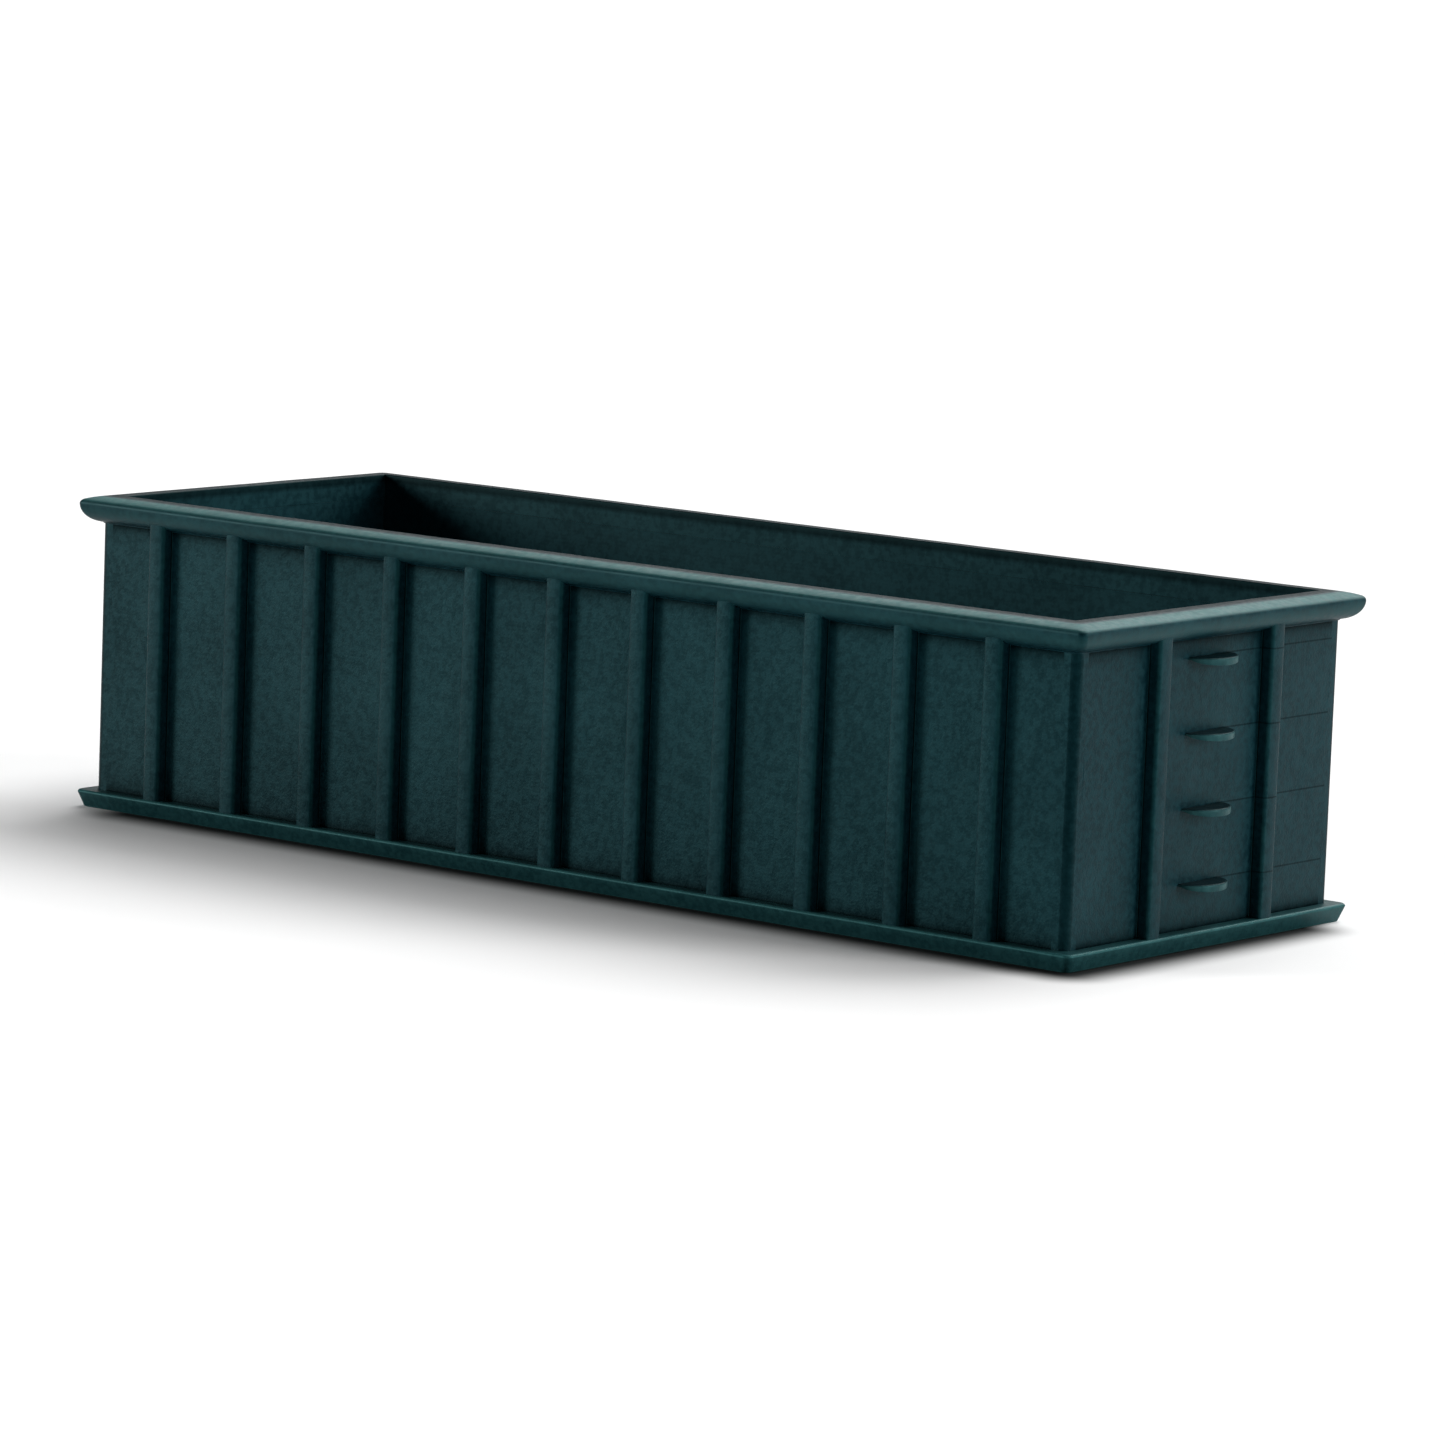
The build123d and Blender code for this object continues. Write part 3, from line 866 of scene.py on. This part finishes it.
@dataclass
class WallSheets:
    """The outer sheets of three walls, each drawn in a little between its posts, and the corner posts."""

    sizes: BoxSizes
    material: bpy.types.Material
    end_material: bpy.types.Material
    corner_radius: float = 0.050
    dish: float = 0.0015
    unevenness: float = 0.0014
    # Reach of the painted shade along the rails, its start below the top rail, its depth on the corner
    # rounds
    shade_reach: float = 0.035
    head_drop: float = 0.02
    corner_shade: float = 0.40
    columns: int = 240
    rows: int = 96
    corner_rows: int = 23
    seed: int = 71

    def sheet_grid(self, wall: Wall, node: str, bays: np.ndarray, seed: int) -> np.ndarray:
        """A plate whose outer face is dished between posts.

        The dish is a squared sine across each bay times a sine up the sheet, plus a small ripple
        that fades at the sheet's edges. The back face stays flat.

        Args:
            wall: which wall.
            node: the frame node the sheet stands for.
            bays: where the posts stand along the wall, with the sheet's two ends.
            seed: picks the ripple.

        Returns:
            The grid, rows by closed outline.
        """
        low, high = (np.array(corner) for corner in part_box(node))
        thickness = min(high[0] - low[0], high[1] - low[1])
        along = np.linspace(bays[0], bays[-1], self.columns + 1)
        height = np.linspace(low[2], high[2], self.rows + 1)[:, None]
        bay = np.clip(np.searchsorted(bays, along, side="right") - 1, 0, len(bays) - 2)
        share = (along - bays[bay]) / (bays[bay + 1] - bays[bay])
        rise = np.sin(math.pi * (height - low[2]) / (high[2] - low[2]))
        dished = self.dish * np.sin(math.pi * share) ** 2 * rise
        uneven = self.unevenness * ripple(along, height, seed, lengths=(0.9, 0.37, 0.17)) * rise
        front = wall_points(self.sizes, wall, along, uneven - dished, height)
        back = wall_points(self.sizes, wall, along[::-1], np.full((self.rows + 1, 1), -thickness), height)
        return np.concatenate([front, back], axis=1)

    def painted_shade(self, node: str) -> np.ndarray:
        """Painted shade where the sheet meets the foot rail and under the top rail: -1 there, fading
        exponentially.

        Args:
            node: the frame node the sheet stands for.

        Returns:
            One value for each row of the sheet, as a column.
        """
        low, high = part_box(node)
        height = np.linspace(low.z, high.z, self.rows + 1)[:, None]
        foot = np.exp(-np.maximum(height - self.sizes.base_top, 0.0) / self.shade_reach)
        under_rail = self.sizes.rail_foot - self.head_drop
        head = np.exp(-np.maximum(under_rail - height, 0.0) / self.shade_reach)
        return -np.maximum(foot, head)

    def corner_outline(self) -> np.ndarray:
        """Plan of one corner post: a square with a large outer round, measured from its outer corner.

        Its depth runs from the wall's outer face to the liner's.

        Returns:
            The closed outline.
        """
        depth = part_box("corner_posts")[1].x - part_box("inner_liner_front")[1].x
        corners = np.concatenate([
            [(-depth, -depth), (0.0, -depth)],
            arc_points((-self.corner_radius, -self.corner_radius), self.corner_radius, 0, 90, steps=14),
            [(-depth, 0.0)],
        ])
        return divided(corners, longest=0.05)

    def make_sheets(self) -> None:
        """Build the three sheets, each dished between its own posts."""
        for number, wall in enumerate((Wall.RIGHT, Wall.LEFT, Wall.FRONT)):
            node = f"outer_sheet_{wall.place}"
            low, high = (np.array(corner)[:2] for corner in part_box(node))
            ends = sorted((float(low @ wall.along), float(high @ wall.along)))
            posts = sorted(post_place(name, wall) for name in post_names(wall))
            bays = np.array([ends[0], *posts, ends[1]])
            grid = self.sheet_grid(wall, node, bays, self.seed + number)
            piece = Surface(grid, self.painted_shade(node)).to_object(f"side_sheet_{wall.place}")
            material = self.end_material if wall is Wall.FRONT else self.material
            place_piece(piece, material, "body_paint", node)

    def make_corners(self) -> None:
        """Build the four corner posts, with painted shade on their rounds."""
        low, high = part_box("corner_posts")
        outline = self.corner_outline()
        rounded = (outline > -self.corner_radius).all(axis=1)
        height = np.linspace(low.z, high.z, self.corner_rows + 1)[:, None]
        for number, (x_side, y_side) in enumerate(((1, -1), (1, 1), (-1, 1), (-1, -1)), start=1):
            x = x_side * (high.x + outline[:, 0])
            y = y_side * (high.y + outline[:, 1])
            grid = np.stack(np.broadcast_arrays(x, y, height), axis=-1)
            piece = Surface(grid, -self.corner_shade * rounded).to_object(f"round_corner_{number}")
            place_piece(piece, self.material, "body_paint", "corner_posts")

    def make(self) -> None:
        """Build the sheets and the corner posts."""
        self.make_sheets()
        self.make_corners()


def post_names(wall: Wall) -> list[str]:
    """The frame's post nodes on a wall, in order."""
    return sorted(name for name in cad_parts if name.startswith(f"post_{wall.place}_"))


def post_place(name: str, wall: Wall) -> float:
    """Where a post stands along its wall.

    Args:
        name: the post's frame node.
        wall: the wall it stands on.

    Returns:
        The distance of its middle from the wall's middle.
    """
    low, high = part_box(name)
    middle = np.array([(low.x + high.x) / 2, (low.y + high.y) / 2])
    return float(middle @ wall.along)


@dataclass
class OutsidePosts:
    """The pressed posts outside the walls: a crowned face, rounded bends and small hollow weld coves."""

    sizes: BoxSizes
    rail: TopRail
    material: bpy.types.Material
    end_material: bpy.types.Material
    bend_radius: float = 0.022
    crown_turn: float = 7.0
    cove_radius: float = 0.009
    cove_turn: float = 70.0
    tuck_under_rail: float = 0.002
    sway: float = 0.0006
    rows: int = 30
    seed: int = 131

    def outline(self) -> np.ndarray:
        """Plan of a post as along and outward: cove, side, bend, crowned face, bend, side, cove.

        The crown turns by the same angle each side of the middle. Its radius is what is left of the
        half width beside the bend, plus the bend's own share of the turn, over the turn's sine.

        Returns:
            The closed outline.
        """
        half, depth = self.sizes.post_width / 2, self.sizes.post_depth
        bend, cove = self.bend_radius, self.cove_radius
        turn = math.radians(self.crown_turn)
        crown = (half - bend + bend * math.sin(turn)) / math.sin(turn)
        root = arc_points((half + cove, cove), cove, 180 + self.cove_turn, -self.cove_turn, steps=4)
        bend_centre = (half - bend, depth - crown + (crown - bend) * math.cos(turn))
        right = np.concatenate([
            [(root[0, 0], -HIDDEN_TUCK)],
            root,
            arc_points(bend_centre, bend, 0, 90 - self.crown_turn, steps=8),
            arc_points((0.0, depth - crown), crown, 90 - self.crown_turn, self.crown_turn, steps=5)[1:],
        ])
        left = right[-2::-1] * (-1.0, 1.0)
        return divided(np.concatenate([right, left]), longest=0.02)

    def grid(self, wall: Wall, middle: float, seed: int) -> np.ndarray:
        """Carry the plan up from the foot rail to the underside of the top rail.

        A point that stands outward by n ends where the rail's quarter round is above it, at the
        round's centre height less the root of R squared minus n squared, and a little further so
        that no gap shows. The post sways by less than a millimetre on its way up.

        Args:
            wall: which wall.
            middle: the post's place along it.
            seed: picks the sway.

        Returns:
            The grid, rows by outline.
        """
        outline = self.outline()
        along, outward = outline[:, 0], outline[:, 1]
        reach = self.sizes.rail_reach
        round_drop = np.sqrt(np.maximum(reach**2 - outward**2, 0.0))
        top = self.rail.under_centre() - round_drop + self.tuck_under_rail
        share = np.linspace(0.0, 1.0, self.rows + 1)[:, None]
        height = self.sizes.base_top + share * (top - self.sizes.base_top)
        sway = self.sway * ripple(height, 0.0 * height, seed, lengths=(1.1, 0.43)) * np.sin(math.pi * share)
        return wall_points(self.sizes, wall, middle + along + sway, outward - np.abs(sway), height)

    def make(self) -> None:
        """Build one piece for each post node."""
        # The bend is each post's own value: scuffing on its tight edges, painted shade in its weld coves
        bend = outline_bend(self.outline())
        for wall in Wall:
            for number, name in enumerate(post_names(wall)):
                grid = self.grid(wall, post_place(name, wall), self.seed + POST_SEED_STEP * number)
                piece = Surface(grid, bend).to_object(name.replace("post", "pressed_post"))
                material = self.end_material if wall is Wall.FRONT else self.material
                place_piece(piece, material, "body_paint", name)


@dataclass
class EndSteps:
    """The D-shaped step trays on the front end."""

    sizes: BoxSizes
    material: bpy.types.Material
    edge_radius: float = 0.012
    wall_thickness: float = 0.005
    worn_and_lit_depth: float = 0.050
    least_hang: float = 1.0 / 3.0
    soft_degrees: float = 50.0
    turns: int = 36

    def outline(self, height: float) -> np.ndarray:
        """The tray's section from the middle of its top, over the edge, and back under.

        Args:
            height: the tray's height.

        Returns:
            Points of inset from the rim and depth below the top, not closed.
        """
        radius, wall = self.edge_radius, self.wall_thickness
        over = arc_points((radius, radius), radius, 270, -90, steps=7)
        lip = arc_points((wall / 2, height - wall / 2), wall / 2, 180, -180, steps=6)
        under = arc_points((radius, radius), radius - wall, 180, 90, steps=5)
        return np.concatenate([over, lip, under])

    def make(self) -> None:
        """Build each tray by carrying its section round half an ellipse.

        A point that is inset by e from the rim lies at the tray's reach less e times the sine of
        the turn, and at its half width less e, times the cosine. The lip hangs lowest in the middle:
        depths are scaled by the root of the turn's sine, and never by less than the least hang. The
        middle of the tray is one point on its top and one on its underside. Scuffing and a painted
        highlight on the rim follow half a sine wave of the depth, the same all round the tray.
        """
        for name in sorted(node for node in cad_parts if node.startswith("step_")):
            low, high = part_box(name)
            reach, half = high.x - self.sizes.half_length, (high.y - low.y) / 2
            middle = (low.y + high.y) / 2
            outline = self.outline(high.z - low.z)
            inset, depth = outline[:, 0], outline[:, 1]
            turn = np.linspace(0.0, math.pi, self.turns + 1)[:, None]
            x = self.sizes.half_length + (reach - inset) * np.sin(turn)
            y = middle + (half - inset) * np.cos(turn)
            hang = np.maximum(np.sqrt(np.sin(turn)), self.least_hang)
            rim = np.stack([x, y, high.z - depth * hang], axis=-1)
            centre = np.array([self.sizes.half_length, middle, 0.0])
            top_centre = np.broadcast_to(centre + (0, 0, high.z), (len(turn), 1, 3))
            low_centre = np.broadcast_to(centre + (0, 0, high.z - self.wall_thickness), (len(turn), 1, 3))
            grid = np.concatenate([top_centre, rim, low_centre], axis=1)
            worn_and_lit = np.sin(math.pi * np.clip(depth / self.worn_and_lit_depth, 0.0, 1.0))
            worn_and_lit = np.concatenate([[0.0], worn_and_lit, [0.0]])
            piece = Surface(grid, worn_and_lit).to_object(name.replace("step", "step_tray"), self.soft_degrees)
            place_piece(piece, self.material, "body_paint", name)


@dataclass
class InsideAndUnder:
    """The pieces that keep their frame meshes: liners, floor, framing, rear sheet and the gate's own."""

    lining: bpy.types.Material
    undercoat: bpy.types.Material
    paint: bpy.types.Material
    bright: bpy.types.Material
    plated: bpy.types.Material

    def finish_for(self, node: str) -> bpy.types.Material:
        """Pick the finish of a frame node by what it is.

        Args:
            node: the frame node's name.

        Returns:
            Its finish.
        """
        if node.startswith("inner_liner") or node == "floor_plate":
            return self.lining
        if node in ("long_sills", "cross_members", "wall_studs"):
            return self.undercoat
        if node in ("gate_shaft", "gate_pinion", "gate_rack"):
            return self.bright
        if node == "gate_bolts":
            return self.plated
        return self.paint

    def dress(self) -> None:
        """Give every frame node that is still shown its finish."""
        shown = {name: node for name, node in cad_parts.items() if not node.hide_render}
        for name, node in sorted(shown.items()):
            node.data.materials.clear()
            node.data.materials.append(self.finish_for(name))
            LOG.info("dressed %s", name)


# ---------------------------------------------------------------- studio


def direction_to(azimuth: float, elevation: float) -> Vector:
    """The way from the box to a camera or a lamp.

    Level, it is the sine and less the cosine of the azimuth; the elevation tilts it up.

    Args:
        azimuth: where it stands, in degrees, with 0 on the right side and 90 at the front end.
        elevation: its height in degrees.

    Returns:
        A vector one long.
    """
    turn, rise = math.radians(azimuth), math.radians(elevation)
    return Vector((math.sin(turn) * math.cos(rise), -math.cos(turn) * math.cos(rise), math.sin(rise)))


@dataclass
class Studio:
    """Pale floor with a painted contact shadow, soft light and the camera."""

    sizes: BoxSizes
    azimuth: float = 38.384
    elevation: float = 7.923
    roll: float = 2.197
    distance: float = 37.736
    aim_right: float = 0.175
    aim_up: float = 0.777
    lens: float = 168.24
    film_width: float = 36.0
    near: float = 0.5
    far: float = 2000.0
    floor_tone: float = 0.86
    floor_roughness: float = 0.9
    floor_gloss: float = 0.1
    floor_size: float = 900.0
    air_strength: float = 0.03
    foot_inset: float = 0.035
    # Painted contact shadow on the floor: its colour, where it starts to clear, where it is gone, its shift
    contact_shadow_tone: Triple = (0.010, 0.012, 0.012)
    contact_shadow_core: float = 0.04
    contact_shadow_width: float = 0.36
    contact_shadow_shift: float = 0.2

    def add_camera(self) -> None:
        """Point the camera at the box's foot from its azimuth and elevation, turned by its roll.

        The camera stands back from the origin by the distance, and is shifted sideways and up in
        its own picture plane.
        """
        turn, lean = math.radians(self.azimuth), math.radians(self.roll)
        forward = -direction_to(self.azimuth, self.elevation)
        level = Vector((math.cos(turn), math.sin(turn), 0.0))
        upward = level.cross(forward)
        right = level * math.cos(lean) + upward * math.sin(lean)
        above = right.cross(forward)
        spot = -forward * self.distance + right * self.aim_right + above * self.aim_up
        data = bpy.data.cameras.new("camera")
        data.lens = self.lens
        data.sensor_width = self.film_width
        data.clip_start = self.near
        data.clip_end = self.far
        camera = bpy.data.objects.new("camera", data)
        turning = Matrix((right, above, -forward)).transposed()
        camera.matrix_world = Matrix.Translation(spot) @ turning.to_4x4()
        bpy.context.scene.collection.objects.link(camera)
        bpy.context.scene.camera = camera

    def add_sun(self, name: str, azimuth: float, elevation: float, power: float, spread: float) -> None:
        """Add a soft sun.

        Args:
            name: the lamp's name.
            azimuth: where it stands, in degrees, with 0 on the right side and 90 at the front end.
            elevation: its height in degrees.
            power: its strength.
            spread: its angular size in degrees.
        """
        data = bpy.data.lights.new(name, "SUN")
        data.energy = power
        data.angle = math.radians(spread)
        lamp = bpy.data.objects.new(name, data)
        lamp.rotation_euler = direction_to(azimuth, elevation).to_track_quat("Z", "Y").to_euler()
        bpy.context.scene.collection.objects.link(lamp)

    def from_foot(self, sheet: NodeSheet) -> bpy.types.NodeSocket:
        """How far the floor lies outside a rectangle that follows the box's foot.

        The foot is the wall's place and the foot rail's reach, less the foot inset. The left and
        rear sides are drawn in by twice the contact shift. The distance is the root of the summed
        squares of what lies beyond the rectangle along x and along y.

        Args:
            sheet: the floor's node tree.

        Returns:
            The distance in metres, 0 inside.
        """
        split = sheet.add("SeparateXYZ")
        sheet.join(sheet.add("TexCoord").outputs["Object"], split.inputs[0])
        reach = self.sizes.base_reach - self.foot_inset
        along = sheet.number("ABSOLUTE", sheet.number("SUBTRACT", split.outputs["X"], self.contact_shadow_shift))
        across = sheet.number("ABSOLUTE", sheet.number("ADD", split.outputs["Y"], self.contact_shadow_shift))
        total: object = 0.0
        for away, half in ((along, self.sizes.half_length), (across, self.sizes.half_width)):
            beyond = sheet.number("SUBTRACT", away, half + reach - self.contact_shadow_shift)
            square = sheet.number("POWER", sheet.number("MAXIMUM", beyond, 0.0), 2.0)
            total = sheet.number("ADD", square, total)
        return sheet.number("SQRT", total)

    def add_floor(self) -> None:
        """Lay a large pale floor under the box, with a painted contact shadow round the foot rail on the
        front and right sides.
        """
        half = self.floor_size / 2
        corners = [(-half, -half, 0), (half, -half, 0), (half, half, 0), (-half, half, 0)]
        mesh = bpy.data.meshes.new("studio_floor")
        mesh.from_pydata(corners, [], [(0, 1, 2, 3)])
        floor = bpy.data.objects.new("studio_floor", mesh)
        material = bpy.data.materials.new("pale_floor")
        material.use_nodes = True
        sheet = NodeSheet(material)
        shader = sheet.tree.nodes["Principled BSDF"]
        clear = sheet.stretched(self.from_foot(sheet), self.contact_shadow_core, self.contact_shadow_width)
        tone = sheet.blend(clear, self.contact_shadow_tone, (self.floor_tone,) * 3)
        sheet.join(tone, shader.inputs["Base Color"])
        shader.inputs["Roughness"].default_value = self.floor_roughness
        shader.inputs["Specular IOR Level"].default_value = self.floor_gloss
        mesh.materials.append(material)
        bpy.context.scene.collection.objects.link(floor)

    def add_lamps(self) -> None:
        """Hang the suns: two keys and a glint from behind, and low fills from both sides and the front."""
        self.add_sun("key_from_behind", azimuth=172.0, elevation=42.0, power=2.0, spread=48.0)
        self.add_sun("high_key_from_behind", azimuth=172.0, elevation=62.0, power=1.65, spread=50.0)
        self.add_sun("glint_from_behind", azimuth=214.0, elevation=30.0, power=0.45, spread=30.0)
        self.add_sun("low_fill_from_left", azimuth=-50.0, elevation=13.0, power=2.1, spread=18.0)
        self.add_sun("low_fill_from_right", azimuth=70.0, elevation=12.0, power=0.30, spread=26.0)
        self.add_sun("low_light_on_front_end", azimuth=118.0, elevation=15.0, power=2.1, spread=24.0)

    def add_air(self) -> None:
        """Fill the studio with a faint even white light."""
        world = bpy.data.worlds.new("studio_air")
        world.use_nodes = True
        background = world.node_tree.nodes["Background"]
        background.inputs["Color"].default_value = (1.0, 1.0, 1.0, 1.0)
        background.inputs["Strength"].default_value = self.air_strength
        bpy.context.scene.world = world
        bpy.context.scene.view_settings.view_transform = "Standard"

    def make(self) -> None:
        """Set up the whole studio."""
        self.add_camera()
        self.add_floor()
        self.add_lamps()
        self.add_air()


def main() -> None:
    """Build every sub-assembly in order."""
    logging.basicConfig(level=logging.INFO, format="%(name)s: %(message)s")
    sizes = BoxSizes.from_frame()
    step_tops = tuple(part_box(name)[1].z for name in sorted(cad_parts) if name.startswith("step_"))
    step_low, step_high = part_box("step_1")
    paint = PaintFinish("green_teal_paint").build()
    end_paint = PaintFinish(
        "green_teal_end_paint", seam_heights=step_tops, seam_from_y=(step_low.y + step_high.y) / 2
    ).build()
    # The rail's lighter colour is its painted highlight on the crown and the quarter round
    rail_paint = PaintFinish(
        "rail_paint", rubbed_and_highlight=(0.038, 0.116, 0.114), roughness=0.46, dust_amount=0.0, rub_and_highlight_amount=1.0,
        patchy=0.2, grain=0.3, gloss=0.16,
    ).build()
    # The foot rail's paint is a lighter copy of the body paint: painted light for a face that gets little
    # light
    lightened_foot_paint = PaintFinish(
        "foot_rail_paint_lightened", deep=(0.0050, 0.0260, 0.0300), light=(0.0110, 0.0480, 0.0520),
        rubbed_and_highlight=(0.024, 0.095, 0.098), rub_and_highlight_amount=0.8, patchy=0.3,
    ).build()
    # The steps' lighter colour is scuffing and painted highlight on the trays' rims
    step_paint = PaintFinish(
        "step_paint", rubbed_and_highlight=(0.032, 0.095, 0.096), rub_and_highlight_amount=0.8, patchy=0.4,
        seam_heights=step_tops, seam_from_y=2 * step_low.y,
    ).build()
    lining = PaintFinish("lining_paint", roughness=0.5, mottle_depth=0.0009).build()
    undercoat = PaintFinish("undercoat", roughness=0.62, gloss=0.25, dust_amount=0.3).build()
    rail = TopRail(sizes, rail_paint)
    Studio(sizes).make()
    rail.make()
    BaseRail(sizes, lightened_foot_paint).make()
    WallSheets(sizes, paint, end_paint).make()
    OutsidePosts(sizes, rail, paint, end_paint).make()
    EndSteps(sizes, step_paint).make()
    bright = SteelFinish("bright_steel").build()
    plated = SteelFinish("plated_bolts", tone=(0.45, 0.46, 0.45), roughness=0.45).build()
    InsideAndUnder(lining, undercoat, paint, bright, plated).dress()


if __name__ == "__main__":
    main()
